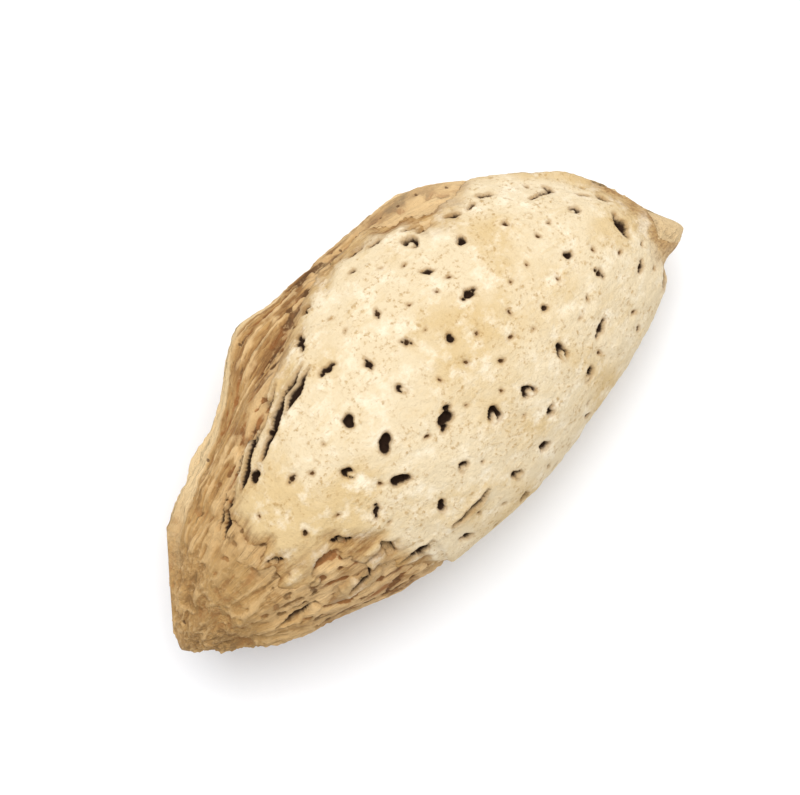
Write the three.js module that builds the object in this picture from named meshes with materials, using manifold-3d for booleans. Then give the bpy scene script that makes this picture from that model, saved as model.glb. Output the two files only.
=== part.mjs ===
// An almond in its shell, lying on one broad face.
//
// The shell is a flattened egg, pointed at the apex and cut off aslant at the stem end. Its keeled edge
// bows out twice as far as its back edge. A pale corky skin, full of pits, covers both broad faces. Along
// the keel and round the stem end the skin has worn away. The brown fibrous shell shows there, lower by
// the skin's thickness, furrowed lengthwise, with slits along the torn edge of the skin. All of it grew
// as one piece, so it is one solid.
//
// Millimetres. +X runs from the stem end to the apex, +Y points to the keeled edge and +Z is up. The
// origin is on the surface that the nut lies on, under the middle of its box.
//
// A place on the shell is given by s, from -1 at the stem end to 1 at the apex, and by turn, the angle
// round the long axis: 0 on the keel, a quarter turn on the upper face and half a turn on the back edge.
// A breadth is measured in turn, in radians. The rest is measured along the nut, in millimetres.

import * as THREE from "three";
import { mergeVertices } from "three/addons/utils/BufferGeometryUtils.js";
import Module from "manifold-3d";

// The plain egg under the relief. A taper is how fast it narrows to the apex and to the stem end.
const HALF_LENGTH = 16.4;
const KEEL_BULGE = 10.3; // from the line through both tips out to the keeled edge
const KEEL_TAPER = [0.63, 0.75];
const BACK_BULGE = 5.2; // from the same line out to the back edge
const BACK_TAPER = [0.9, 0.8];
const HALF_THICKNESS = 6.1;
const THICKNESS_TAPER = [0.78, 0.64];
const SHARPNESS = 1.24; // of the section's sides, 1 for an ellipse
const KEEL_SHARPNESS = 0.16; // more than that at the keel, and less by as much at the back

// How it lies
const ROLL = THREE.MathUtils.degToRad(5.5); // about its length, keel up
const PITCH = THREE.MathUtils.degToRad(3.7); // apex down
const FLAT_DEPTH = 0.15; // how much of the underside the flat spot takes away

// The keeled edge
const EDGE_BREADTH = 0.6;
const SHOULDER_HEIGHT = 0.6; // where it bows out, in the apex half
const SHOULDER_X = 6.7;
const SHOULDER_LENGTH = 2.8;
const WAIST_DEPTH = 0.8; // where it draws in, between the wing and the stem end
const WAIST_X = -8.5;
const WAIST_LENGTH = 2.5;
const RIDGE_HEIGHT = 0.5;
const RIDGE_BREADTH = 0.28;
const WING_HEIGHT = 0.85; // the ridge's bump, a little on the stem side of the middle
const WING_X = -4.0;
const WING_LENGTH = 1.75;
const SUTURE_DEPTH = 0.4; // of the groove that splits the ridge's crest
const SUTURE_BREADTH = 0.075;

// The tips
const TIPS_FROM = 0.87; // the s from which the relief of the sides fades out
const BEAK_HEIGHT = 0.35;
const BEAK_RADIUS = 1.0;
const THROAT_DEPTH = 0.85; // of the hollow behind the beak, on the back edge
const THROAT_X = 15.4;
const THROAT_LENGTH = 0.8;
const THROAT_BREADTH = 1.1;
const SCAR_TILT = THREE.MathUtils.degToRad(36); // of the stem end's cut face, towards the keel
const SCAR_PLACE = 13.6; // of that face, from the middle of the nut
const SCAR_DEPTH = 0.35;
const SCAR_RADIUS = 1.5;
const SCAR_RIM = 0.25;

// The skin, and the bands where it has worn away
const SKIN_THICKNESS = 0.34;
const SKIN_STEP = 0.3; // the skin reaches its thickness this far inside its edge
const SKIN_START_X = -10.6;
const KEEL_BAND = 0.5; // half the breadth of the bare band along the keel
const KEEL_BAND_SHOULDER = { more: 0.24, x: 7.5, length: 3 };
const KEEL_BAND_STEM = { more: 0.45, from: -1, to: -8 };
const KEEL_BAND_APEX = { less: 0.3, from: 10, to: 13 };
const BACK_BAND = { most: 1.1, least: -0.3, from: -1.5, to: -8 };
const RAGGED_HEIGHT = 0.5;

// Each wave is a height, radians for each millimetre along the nut, radians for each radian of turn,
// and a shift.
const RAGGED_WAVES = [
  [0.45, 1.15, 3, 1.0],
  [0.3, 2.3, -7, 0.3],
  [0.25, 3.4, 11, 2.2],
];
const SWELL_HEIGHT = 0.15; // slow unevenness of growth
const SWELL_WAVES = [
  [0.4, 0.42, 2, 0.6],
  [0.3, 0.75, -3, 2.1],
  [0.3, 0.3, 4, 4.4],
];
const FURROW_DEPTH = 0.2;
const BROAD_FURROWS = { height: 0.6, count: 9, sway: 1.2, swayPerMm: 0.5 };
const FINE_FURROWS = { height: 0.4, count: 16, slant: 0.4 };

// Pits
const PIT_SEED = 20417;
const PIT_TRIES = 900;
const PIT_REGION = { s: -0.72, length: 1.62 };
const PIT_SPACING = 1.85;
const PIT_FROM_EDGE = 0.5;
const PIT_RADIUS = [0.14, 0.47];
const SMALL_PITS = 1.3; // above 1, more of the pits are small
const PIT_STRETCH = 1.2; // how much longer than wide the longest are, less one
const SMALLEST_CUT = 0.2; // a pit of a smaller radius is left out of this solid
const PIT_DEPTH = { least: 0.35, perRadius: 1.1 };

// Slits along the skin's torn edges, on both faces, in the stem half of the nut
const SLIT_SEED = 911;
const SLIT_ROWS = [
  { from: -10.5, to: -2.5, step: 2.1, turn: 0.98, length: 2.6 },
  { from: -11, to: -0.5, step: 3.2, turn: 2.4, length: 1.9 },
];
const SLIT_SHIFT = 0.8;
const SLIT_SCATTER = 0.16;
const SLIT_LENGTHS = [0.7, 1.4];
const SLIT_WIDTH = 0.42;
const SLIT_DEPTH = 0.55;

// A plug that cuts a pit or a slit, for a hole of radius 1
const PLUG_TOP = 1.15;
const PLUG_FLOOR = 0.45;
const PLUG_ABOVE = 0.5; // how far it stands out of the nut
const PLUG_SIDES = 7;

// Fineness of the surface: faces round the nut and along it, and how they crowd towards the keel
const ROUND = 60;
const ALONG = 52;
const KEEL_CROWDING = 0.35;

const wasm = await Module();
wasm.setup();

// Repeatable draws from 0 to 1, by the minimal standard generator.
function drawsFrom(seed) {
  let state = seed;
  return () => {
    state = (state * 16807) % 2147483647;
    return state / 2147483647;
  };
}

const bell = (distance, width) => Math.exp(-((distance / width) ** 2));

// 0 at low, 1 at high and smooth between; low may be the greater.
function ease(low, high, value) {
  const t = THREE.MathUtils.clamp((value - low) / (high - low), 0, 1);
  return t * t * (3 - 2 * t);
}

// An angle folded to between -half a turn and half a turn.
const fold = (angle) => Math.atan2(Math.sin(angle), Math.cos(angle));

// The sum of the waves at a place, about -1 to 1. It is the same after a whole turn.
function sumOf(waves, x, turn) {
  return waves.reduce((sum, [height, along, round, shift]) => {
    return sum + height * Math.sin(along * x + round * turn + shift);
  }, 0);
}

// A hump, 0 at both ends and 1 where fullest: (1 - s)^apex (1 + s)^stem over its greatest value.
function taper(s, [apex, stem]) {
  const fullest = (stem - apex) / (stem + apex);
  const peak = (1 - fullest) ** apex * (1 + fullest) ** stem;
  return (Math.max(1 - s, 0) ** apex * Math.max(1 + s, 0) ** stem) / peak;
}

// The plain egg's section at s: the middle of its width, half its width and half its thickness.
function section(s) {
  const keel = KEEL_BULGE * taper(s, KEEL_TAPER);
  const back = BACK_BULGE * taper(s, BACK_TAPER);
  const thick = HALF_THICKNESS * taper(s, THICKNESS_TAPER);
  return { middle: (keel - back) / 2, wide: (keel + back) / 2, thick };
}

// A point of the plain egg. Its section is an ellipse, sharpened at the keel and blunt at the back.
function eggPoint(s, turn) {
  const { middle, wide, thick } = section(s);
  const sharpness = SHARPNESS + KEEL_SHARPNESS * Math.cos(turn);
  const rise = Math.sign(Math.sin(turn)) * Math.abs(Math.sin(turn)) ** sharpness;
  return new THREE.Vector3(HALF_LENGTH * s, middle + wide * Math.cos(turn), thick * rise);
}

// The way outwards, as on an ellipsoid of the egg's size, so that it is smooth at both tips.
function outwards(point, s) {
  const { middle } = section(s);
  const halfWidth = (KEEL_BULGE + BACK_BULGE) / 2;
  return new THREE.Vector3(
    point.x / HALF_LENGTH ** 2,
    (point.y - middle) / halfWidth ** 2,
    point.z / HALF_THICKNESS ** 2,
  ).normalize();
}

// Half the breadth of the bare band along the keel: broad at the stem end, narrow at the apex.
function keelBand(x) {
  const shoulder = KEEL_BAND_SHOULDER;
  const stem = KEEL_BAND_STEM;
  const apex = KEEL_BAND_APEX;
  const bowed = shoulder.more * bell(x - shoulder.x, shoulder.length);
  return KEEL_BAND + bowed + stem.more * ease(stem.from, stem.to, x) - apex.less * ease(apex.from, apex.to, x);
}

// Half the breadth of the bare band along the back edge, below 0 where there is none.
function backBand(x) {
  const { most, least, from, to } = BACK_BAND;
  return THREE.MathUtils.lerp(least, most, ease(from, to, x));
}

// Millimetres inside the skin's edge. Below 0 the skin has worn away: in a band along the keel, broad
// at the stem end, in one along the stem half of the back edge, and round the stem end.
function insideSkin(s, turn) {
  const x = HALF_LENGTH * s;
  const { wide } = section(s);
  const fromKeel = Math.abs(fold(turn));
  const fromBack = Math.PI - fromKeel;
  const fromBands = Math.min(fromKeel - keelBand(x), fromBack - backBand(x)) * wide;
  return Math.min(fromBands, x - SKIN_START_X) + RAGGED_HEIGHT * sumOf(RAGGED_WAVES, x, turn);
}

// Lengthwise furrows of the worn shell, about -1 to 1.
function furrow(x, turn) {
  const { height, count, sway, swayPerMm } = BROAD_FURROWS;
  const broad = height * Math.cos(count * turn + sway * Math.sin(swayPerMm * x));
  const fine = FINE_FURROWS.height * Math.cos(FINE_FURROWS.count * turn - FINE_FURROWS.slant * x);
  return broad + fine;
}

// The keeled edge: bowed out and drawn in along its length, with a ridge that a groove splits.
function keelRelief(x, fromKeel) {
  const shoulder = SHOULDER_HEIGHT * bell(x - SHOULDER_X, SHOULDER_LENGTH);
  const waist = WAIST_DEPTH * bell(x - WAIST_X, WAIST_LENGTH);
  const ridge = RIDGE_HEIGHT + WING_HEIGHT * bell(x - WING_X, WING_LENGTH);
  const groove = SUTURE_DEPTH * bell(fromKeel, SUTURE_BREADTH);
  return (shoulder - waist) * bell(fromKeel, EDGE_BREADTH) + ridge * bell(fromKeel, RIDGE_BREADTH) - groove;
}

// Height of the relief over a point of the plain egg.
function relief(point, s, turn) {
  const x = point.x;
  const skin = ease(-SKIN_STEP, SKIN_STEP, insideSkin(s, turn));
  const uneven = SWELL_HEIGHT * sumOf(SWELL_WAVES, x, turn) + FURROW_DEPTH * (1 - skin) * furrow(x, turn);
  const atBack = bell(fold(turn - Math.PI), THROAT_BREADTH);
  const throat = THROAT_DEPTH * bell(x - THROAT_X, THROAT_LENGTH) * atBack;
  const beak = s > 0 ? BEAK_HEIGHT * bell(Math.hypot(point.y, point.z), BEAK_RADIUS) : 0;
  const awayFromTips = ease(1, TIPS_FROM, Math.abs(s));
  const sides = keelRelief(x, fold(turn)) + uneven + SKIN_THICKNESS * skin - throat;
  return sides * awayFromTips + beak;
}

// The stem end's cut face: what stands past a slanting plane is laid back on it, and hollowed.
function cutStemEnd(point) {
  const facing = new THREE.Vector3(-Math.cos(SCAR_TILT), Math.sin(SCAR_TILT), 0);
  const past = point.dot(facing) - SCAR_PLACE;
  if (past > 0) {
    const centre = facing.clone().multiplyScalar(SCAR_PLACE);
    point.addScaledVector(facing, -past);
    const fromCentre = point.distanceTo(centre);
    const hollow = SCAR_DEPTH * bell(fromCentre, SCAR_RADIUS) * ease(0, SCAR_RIM, past);
    point.addScaledVector(facing, -hollow);
  }
  return point;
}

function shellPoint(s, turn) {
  const point = eggPoint(s, turn);
  const height = relief(point, s, turn);
  return cutStemEnd(point.addScaledVector(outwards(point, s), height));
}

// A ball's vertices moved to the shell, its poles to the tips. Its columns crowd towards the keel.
function shellGeometry() {
  const geometry = new THREE.SphereGeometry(1, ROUND, ALONG);
  geometry.deleteAttribute("normal");
  geometry.deleteAttribute("uv");
  const position = geometry.attributes.position;
  for (let i = 0; i < position.count; i += 1) {
    const s = THREE.MathUtils.clamp(position.getY(i), -1, 1);
    const even = Math.atan2(position.getX(i), position.getZ(i));
    const point = shellPoint(s, even - KEEL_CROWDING * Math.sin(even));
    position.setXYZ(i, point.x, point.y, point.z);
  }
  return mergeVertices(geometry, 1e-3);
}

// Pits: darts thrown at the nut, kept where they land on the skin, clear of those before them. A pit
// that is drawn out is narrower by as much as it is longer.
function pits() {
  const draw = drawsFrom(PIT_SEED);
  const kept = [];
  for (let i = 0; i < PIT_TRIES; i += 1) {
    const s = PIT_REGION.s + PIT_REGION.length * draw();
    const turn = 2 * Math.PI * draw();
    const radius = THREE.MathUtils.lerp(...PIT_RADIUS, draw() ** SMALL_PITS);
    const stretch = Math.sqrt(1 + PIT_STRETCH * draw() ** 3);
    const spin = Math.PI * draw();
    const centre = shellPoint(s, turn);
    const clear = kept.every((pit) => pit.centre.distanceTo(centre) > PIT_SPACING);
    if (clear && insideSkin(s, turn) > PIT_FROM_EDGE) {
      kept.push({ s, turn, centre, radius, stretch, spin });
    }
  }
  return kept;
}

// Slits: long splits in rows, in even steps with shifts that are drawn.
function slits() {
  const draw = drawsFrom(SLIT_SEED);
  const kept = [];
  for (const face of [1, -1]) {
    for (const row of SLIT_ROWS) {
      for (let x = row.from; x < row.to; x += row.step) {
        const s = (x + SLIT_SHIFT * draw()) / HALF_LENGTH;
        const turn = face * (row.turn + SLIT_SCATTER * (draw() - 0.5));
        const length = row.length * THREE.MathUtils.lerp(...SLIT_LENGTHS, draw());
        kept.push({ s, turn, centre: shellPoint(s, turn), length });
      }
    }
  }
  return kept;
}

function solidOf(geometry) {
  return new wasm.Manifold(
    new wasm.Mesh({
      numProp: 3,
      vertProperties: geometry.attributes.position.array,
      triVerts: new Uint32Array(geometry.index.array),
    }),
  );
}

function geometryOf(solid) {
  const mesh = solid.getMesh();
  const geometry = new THREE.BufferGeometry();
  geometry.setAttribute("position", new THREE.BufferAttribute(mesh.vertProperties, 3));
  geometry.setIndex(new THREE.BufferAttribute(mesh.triVerts, 1));
  return geometry;
}

// A tapered plug that leaves a hole, wide at the surface and narrow at its floor. It stands square to
// the egg, with its length along the nut before it is spun.
function plug(place, halfLength, halfWidth, depth, spin) {
  const geometry = new THREE.CylinderGeometry(PLUG_TOP, PLUG_FLOOR, depth + PLUG_ABOVE, PLUG_SIDES, 1);
  geometry.deleteAttribute("normal");
  geometry.deleteAttribute("uv");
  geometry.translate(0, (PLUG_ABOVE - depth) / 2, 0);
  geometry.scale(halfLength, 1, halfWidth);
  geometry.rotateY(spin);
  const step = 0.02;
  const { s, turn } = place;
  const along = eggPoint(s + step, turn).sub(eggPoint(s - step, turn)).normalize();
  const round = eggPoint(s, turn + step).sub(eggPoint(s, turn - step)).normalize();
  const up = new THREE.Vector3().crossVectors(along, round).normalize();
  if (up.dot(outwards(place.centre, s)) < 0) {
    up.negate();
  }
  const across = new THREE.Vector3().crossVectors(along, up);
  const stand = new THREE.Matrix4().makeBasis(along, up, across).setPosition(place.centre);
  return solidOf(mergeVertices(geometry.applyMatrix4(stand), 1e-4));
}

function cutHoles(shell) {
  let cut = shell;
  for (const pit of pits().filter((p) => p.radius > SMALLEST_CUT)) {
    const depth = PIT_DEPTH.least + PIT_DEPTH.perRadius * pit.radius;
    cut = cut.subtract(plug(pit, pit.radius * pit.stretch, pit.radius / pit.stretch, depth, pit.spin));
  }
  for (const slit of slits()) {
    cut = cut.subtract(plug(slit, slit.length / 2, SLIT_WIDTH / 2, SLIT_DEPTH, 0));
  }
  return cut;
}

// The move that lays the shell down: turned, centred, and FLAT_DEPTH below the origin's level.
function layingDown(shell) {
  const turned = new THREE.Matrix4().makeRotationY(PITCH);
  turned.multiply(new THREE.Matrix4().makeRotationX(ROLL));
  const lying = shell.clone().applyMatrix4(turned);
  lying.computeBoundingBox();
  const middle = lying.boundingBox.getCenter(new THREE.Vector3());
  const lift = -lying.boundingBox.min.z - FLAT_DEPTH;
  return new THREE.Matrix4().makeTranslation(-middle.x, -middle.y, lift).multiply(turned);
}

// What is below the origin's level once the shell lies, where the shell is before it is laid down.
function underTheFloor(laying) {
  const side = 3 * HALF_LENGTH;
  const under = new THREE.BoxGeometry(side, side, side).translate(0, 0, -side / 2);
  under.deleteAttribute("normal");
  under.deleteAttribute("uv");
  return solidOf(mergeVertices(under.applyMatrix4(laying.clone().invert())));
}

const shellMaterial = new THREE.MeshStandardMaterial({ color: 0xd8b888, roughness: 0.85, metalness: 0 });

const shell = shellGeometry();
const laying = layingDown(shell);
const flattened = cutHoles(solidOf(shell)).subtract(underTheFloor(laying));
const nut = new THREE.Mesh(geometryOf(flattened).applyMatrix4(laying), shellMaterial);
nut.name = "nut";

const almond = new THREE.Group();
almond.add(nut);

export default almond;
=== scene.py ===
import math

import bpy
import numpy as np
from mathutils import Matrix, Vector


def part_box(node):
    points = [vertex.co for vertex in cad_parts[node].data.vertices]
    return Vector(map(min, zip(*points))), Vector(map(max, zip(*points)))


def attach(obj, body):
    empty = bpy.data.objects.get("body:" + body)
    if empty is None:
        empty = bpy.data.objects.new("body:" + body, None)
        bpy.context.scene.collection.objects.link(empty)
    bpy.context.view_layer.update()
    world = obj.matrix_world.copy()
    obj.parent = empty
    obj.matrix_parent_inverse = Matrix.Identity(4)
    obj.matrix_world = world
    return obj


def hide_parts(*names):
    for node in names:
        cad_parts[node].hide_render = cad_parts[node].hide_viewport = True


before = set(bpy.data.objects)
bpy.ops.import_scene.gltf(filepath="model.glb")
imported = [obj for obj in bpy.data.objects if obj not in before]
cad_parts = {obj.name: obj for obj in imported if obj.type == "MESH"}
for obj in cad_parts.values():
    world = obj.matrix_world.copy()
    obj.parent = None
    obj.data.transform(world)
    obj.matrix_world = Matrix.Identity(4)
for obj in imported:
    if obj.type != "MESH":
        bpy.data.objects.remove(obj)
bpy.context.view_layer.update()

# The shell: a flattened woody egg, brown and streaked lengthwise by its fibres, pointed at the apex and
# broken off aslant at the stem. It shows along the keel, round the stem end and along the stem half of
# the back, and it is sunk where the skin lies on it. Millimetres, until the nut is laid down.
HALF_LENGTH = 16.4
KEEL_BULGE = 10.3
KEEL_TAPER = (0.63, 0.75)
BACK_BULGE = 5.2
BACK_TAPER = (0.9, 0.8)
HALF_THICKNESS = 6.1
THICKNESS_TAPER = (0.78, 0.64)
SHARPNESS = 1.24
KEEL_SHARPNESS = 0.16
MM = 0.001


def bell(distance, width):
    """1 at no distance, falling off as the normal curve does."""
    return np.exp(-((distance / width) ** 2))


def ease(low, high, value):
    """0 at low, 1 at high and smooth between; low may be the greater."""
    t = np.clip((value - low) / (high - low), 0, 1)
    return t * t * (3 - 2 * t)


def hill(value, shape):
    """A bell with a height, a middle and a width, the three in shape."""
    height, middle, width = shape
    return height * bell(value - middle, width)


def ramp(value, shape):
    """A smooth rise with a height, a start and an end, the three in shape."""
    height, start, end = shape
    return height * ease(start, end, value)


def fold(angle):
    """The same angle between minus half a turn and half a turn."""
    return np.arctan2(np.sin(angle), np.cos(angle))


def taper(s, powers):
    """(1 - s) to the power apex times (1 + s) to the power stem, over its greatest value."""
    apex, stem = powers
    fullest = (stem - apex) / (stem + apex)
    peak = (1 - fullest) ** apex * (1 + fullest) ** stem
    return np.maximum(1 - s, 0) ** apex * np.maximum(1 + s, 0) ** stem / peak


def section(s):
    """The egg's section at s: the middle of its width, half its width and half its thickness."""
    keel = KEEL_BULGE * taper(s, KEEL_TAPER)
    back = BACK_BULGE * taper(s, BACK_TAPER)
    return (keel - back) / 2, (keel + back) / 2, HALF_THICKNESS * taper(s, THICKNESS_TAPER)


def egg_point(s, turn):
    """The plain egg: s runs from the stem end, -1, to the apex, 1, and turn round it from the keel, up
    over the face. The section is an ellipse whose thickness goes as a power of the sine, sharp at the
    keel and blunt at the back."""
    middle, wide, thick = section(s)
    sine = np.sin(turn)
    rise = np.sign(sine) * np.abs(sine) ** (SHARPNESS + KEEL_SHARPNESS * np.cos(turn))
    return np.stack([HALF_LENGTH * s, middle + wide * np.cos(turn), thick * rise], -1)


def outwards(egg, s):
    """The way out of an ellipsoid of the egg's size, at the egg's point."""
    middle = section(s)[0]
    half_width = (KEEL_BULGE + BACK_BULGE) / 2
    way = egg - np.stack([0 * middle, middle, 0 * middle], -1)
    way = way / np.array([HALF_LENGTH, half_width, HALF_THICKNESS]) ** 2
    return way / np.linalg.norm(way, axis=-1, keepdims=True)


# The skin's edge on the solid, where it steps down to the shell. Half breadths of the bare bands are in
# radians of turn. Each wave is a height, radians for each millimetre, radians for each radian of turn
# and a shift.
SKIN_THICKNESS = 0.34
SKIN_STEP = 0.3
SKIN_START_X = -10.6
KEEL_BAND = 0.5
KEEL_BAND_SHOULDER = (0.24, 7.5, 3)
KEEL_BAND_STEM = (0.45, -1, -8)
KEEL_BAND_APEX = (0.3, 10, 13)
BACK_BAND = 0.3
BACK_BAND_STEM = (1.4, -1.5, -8)
RAGGED_HEIGHT = 0.5
RAGGED_WAVES = ((0.45, 1.15, 3, 1.0), (0.3, 2.3, -7, 0.3), (0.25, 3.4, 11, 2.2))


def waves(kinds, x, turn):
    """Sines summed, the same after a whole turn."""
    return sum(high * np.sin(along * x + about * turn + shift) for high, along, about, shift in kinds)


def inside_skin(s, turn):
    """Millimetres inside the skin's edge, below 0 where it has worn away: the least of the ways to the
    keel's bare band, the back's and the stem end's, with a ragged sum of sines."""
    x = HALF_LENGTH * s
    wide = section(s)[1]
    from_keel = np.abs(fold(turn))
    keel_band = KEEL_BAND + hill(x, KEEL_BAND_SHOULDER) - ramp(x, KEEL_BAND_APEX) + ramp(x, KEEL_BAND_STEM)
    back_band = ramp(x, BACK_BAND_STEM) - BACK_BAND
    by_keel = (from_keel - keel_band) * wide
    by_back = (math.pi - from_keel - back_band) * wide
    ragged = RAGGED_HEIGHT * waves(RAGGED_WAVES, x, turn)
    return np.minimum(np.minimum(by_keel, by_back), x - SKIN_START_X) + ragged


# The relief of the sides, the beak and the stem end's cut face. The shoulder, the waist, the wing and
# the throat are each a height, an x and a length.
SHOULDER = (0.6, 6.7, 2.8)
WAIST = (0.8, -8.5, 2.5)
EDGE_BREADTH = 0.6
RIDGE_HEIGHT = 0.5
RIDGE_BREADTH = 0.28
WING = (0.85, -4.0, 1.75)
SUTURE_DEPTH = 0.4
SUTURE_BREADTH = 0.075
SWELL_HEIGHT = 0.15
SWELL_WAVES = ((0.4, 0.42, 2, 0.6), (0.3, 0.75, -3, 2.1), (0.3, 0.3, 4, 4.4))
FURROW_DEPTH = 0.2
BROAD_FURROWS = (0.6, 9, 1.2, 0.5)
FINE_FURROWS = (0.4, 16, 0.4)
TIPS_FROM = 0.87
BEAK_HEIGHT = 0.35
BEAK_RADIUS = 1.0
THROAT = (0.85, 15.4, 0.8)
THROAT_BREADTH = 1.1
SCAR_TILT = math.radians(36)
SCAR_PLACE = 13.6
SCAR_DEPTH = 0.35
SCAR_RADIUS = 1.5
SCAR_RIM = 0.25


def furrow(x, turn):
    """Lengthwise furrows of the bare shell, each kind a share and a number round it: broad ones, with
    how far and how fast they sway, and fine ones, with their slant."""
    share, count, sway, quickness = BROAD_FURROWS
    broad = share * np.cos(count * turn + sway * np.sin(quickness * x))
    share, count, slant = FINE_FURROWS
    return broad + share * np.cos(count * turn - slant * x)


def keel_relief(x, from_keel):
    """The keeled edge: bowed out at its shoulder, drawn in at its waist, with a ridge that has a bump
    at the wing and is split by the suture's groove."""
    bowed = (hill(x, SHOULDER) - hill(x, WAIST)) * bell(from_keel, EDGE_BREADTH)
    ridge = (RIDGE_HEIGHT + hill(x, WING)) * bell(from_keel, RIDGE_BREADTH)
    return bowed + ridge - SUTURE_DEPTH * bell(from_keel, SUTURE_BREADTH)


def nut_point(s, turn, cover, bare, cut=SCAR_PLACE):
    """The egg's point moved outwards by the relief, which fades to the tips but for the beak, and by
    cover, the height over the bare shell. bare is how much of the furrows shows. What is past the stem
    end's slanting face is laid back on it and hollowed."""
    egg = egg_point(s, turn)
    x = egg[..., 0]
    throat = hill(x, THROAT) * bell(fold(turn - math.pi), THROAT_BREADTH)
    uneven = SWELL_HEIGHT * waves(SWELL_WAVES, x, turn) + FURROW_DEPTH * bare * furrow(x, turn)
    sides = keel_relief(x, fold(turn)) + uneven - throat
    beak = BEAK_HEIGHT * bell(np.hypot(egg[..., 1], egg[..., 2]), BEAK_RADIUS) * (s > 0)
    height = sides * ease(1, TIPS_FROM, np.abs(s)) + beak + cover
    point = egg + outwards(egg, s) * height[..., None]
    facing = np.array([-math.cos(SCAR_TILT), math.sin(SCAR_TILT), 0])
    past = np.maximum(point @ facing - cut, 0)
    point = point - past[..., None] * facing
    from_middle = np.linalg.norm(point - facing * cut, axis=-1)
    hollow = SCAR_DEPTH * bell(from_middle, SCAR_RADIUS) * ease(0, SCAR_RIM, past)
    return point - hollow[..., None] * facing


def solid_point(s, turn):
    """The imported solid's own surface, without its holes."""
    skin = ease(-SKIN_STEP, SKIN_STEP, inside_skin(s, turn))
    cover = SKIN_THICKNESS * skin * ease(1, TIPS_FROM, np.abs(s))
    return nut_point(s, turn, cover, 1 - skin)


# How the nut lies
ROLL = math.radians(5.5)
PITCH = math.radians(3.7)
FLAT_DEPTH = 0.15
BOX_STEPS = 400


def laid_down(point):
    """The point after the roll about the nut's length and the pitch that puts its apex down."""
    across, along = math.cos(ROLL), math.cos(PITCH)
    roll = np.array([[1, 0, 0], [0, across, -math.sin(ROLL)], [0, math.sin(ROLL), across]])
    pitch = np.array([[along, 0, math.sin(PITCH)], [0, 1, 0], [-math.sin(PITCH), 0, along]])
    return point @ (pitch @ roll).T


def on_the_floor(point):
    """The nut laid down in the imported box, in metres: turned, moved as the solid is, and flat where it
    rests."""
    s = -np.cos(np.linspace(0, math.pi, BOX_STEPS))[:, None]
    turn = np.linspace(0, 2 * math.pi, BOX_STEPS)[None, :]
    s, turn = np.broadcast_arrays(s, turn)
    solid = laid_down(solid_point(s, turn)).reshape(-1, 3)
    low, high = solid.min(0), solid.max(0)
    move = np.array([-(low[0] + high[0]) / 2, -(low[1] + high[1]) / 2, -low[2] - FLAT_DEPTH])
    lying = (laid_down(point) + move) * MM
    low, high = (np.array(corner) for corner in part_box("nut"))
    return np.clip(lying, low, high)


# Roughness: smooth noise in layers. Each layer is a height, how many cells of its lattice there are to
# a millimetre along the nut and across it, and a seed.
SEED_SPREAD = (7919, 17)
HASH_PRIMES = (73856093, 19349663, 83492791)
HASH_MIXERS = ((15, 2246822519), (13, 3266489917))
HASH_LAST_SHIFT = 16
SLOPE_BITS = 10
NOISE_GAIN = 1.5
FIBRE_BARREL = 6.5
BARREL_CLOSES = 0.22
BARREL_ROUNDING = 0.7


def noise(place, seed):
    """Smooth noise, about -1 to 1: a slope drawn for each corner of a lattice of unit cubes by mixing
    the bits of its place, and between the corners their slopes blended by the fifth-power ease."""
    cell = np.floor(place).astype(np.int64)
    inside = place - cell
    blend = inside**3 * (inside * (inside * 6 - 15) + 10)
    total = np.zeros(place.shape[:-1])
    spread, start = SEED_SPREAD
    largest = 2**SLOPE_BITS - 1
    for corner in np.ndindex(2, 2, 2):
        at = (cell + corner).astype(np.uint32)
        mixed = np.uint32(seed * spread + start)
        for axis, prime in enumerate(HASH_PRIMES):
            mixed = mixed ^ at[..., axis] * np.uint32(prime)
        for shift, factor in HASH_MIXERS:
            mixed = (mixed ^ (mixed >> np.uint32(shift))) * np.uint32(factor)
        mixed = mixed ^ (mixed >> np.uint32(HASH_LAST_SHIFT))
        away = inside - corner
        slope = 0
        for axis in range(3):
            part = (mixed >> np.uint32(SLOPE_BITS * axis)) & np.uint32(largest)
            slope = slope + (2 * part / largest - 1) * away[..., axis]
        share = np.where(corner, blend, 1 - blend).prod(-1)
        total += share * slope
    return total * NOISE_GAIN


def rough(place, layers):
    """Layers of noise at a place, summed."""
    total = 0
    for height, along, across, seed in layers:
        total = total + height * noise(place * [along, across, across], seed)
    return total


def fibre_place(s, turn):
    """Where a point is among the fibres: along the nut, and round a barrel of even girth that closes at
    the ends, so that what is drawn out along the first of the three runs from tip to tip and shows its
    broken ends at the tips."""
    barrel = FIBRE_BARREL * np.minimum((1 - np.abs(s)) / BARREL_CLOSES, 1) ** BARREL_ROUNDING
    return np.stack([HALF_LENGTH * s, barrel * np.cos(turn), barrel * np.sin(turn)], -1)


# The torn edge of the skin. A patch is its x, its length, its turn and its breadth, on both faces. A
# reach is how far the skin reaches out, and the two x between which it comes to that. Two numbers alone
# are where an effect starts and where it is full.
TEETH = [(0.5, 0.3, 1.0, 12)]
CRUMBLED = [(0.16, 1.6, 1.6, 3), (0.09, 5, 5, 4)]
KEEL_REACH = (2.0, -2.5, 3)
APEX_REACH = (0.9, 5, 10)
UNEVEN_REACH = [(0.5, 0.6, 0.6, 18)]
REACH_FROM = (-2.5, 1)
REACH_TURN = (1, 0.2, 0.9)
BACK_FROM = (-0.5, -3.5)
BACK_TURNS = (1.5, 2.2)
BACK_RAGS = [(1.5, 0.42, 0.42, 17), (0.5, 1.1, 1.1, 19)]
STEM_FROM = (-7.5, -9.5)
BACK_SHREDS_FROM = (-2, -5)
BACK_SHREDS_TURNS = (1.9, 2.3)
SHREDS = [(0.9, 0.2, 1.2, 13)]
BARE_SUTURE = 0.4
SUTURE_RAGS = [(0.25, 0.5, 1.0, 16)]
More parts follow.
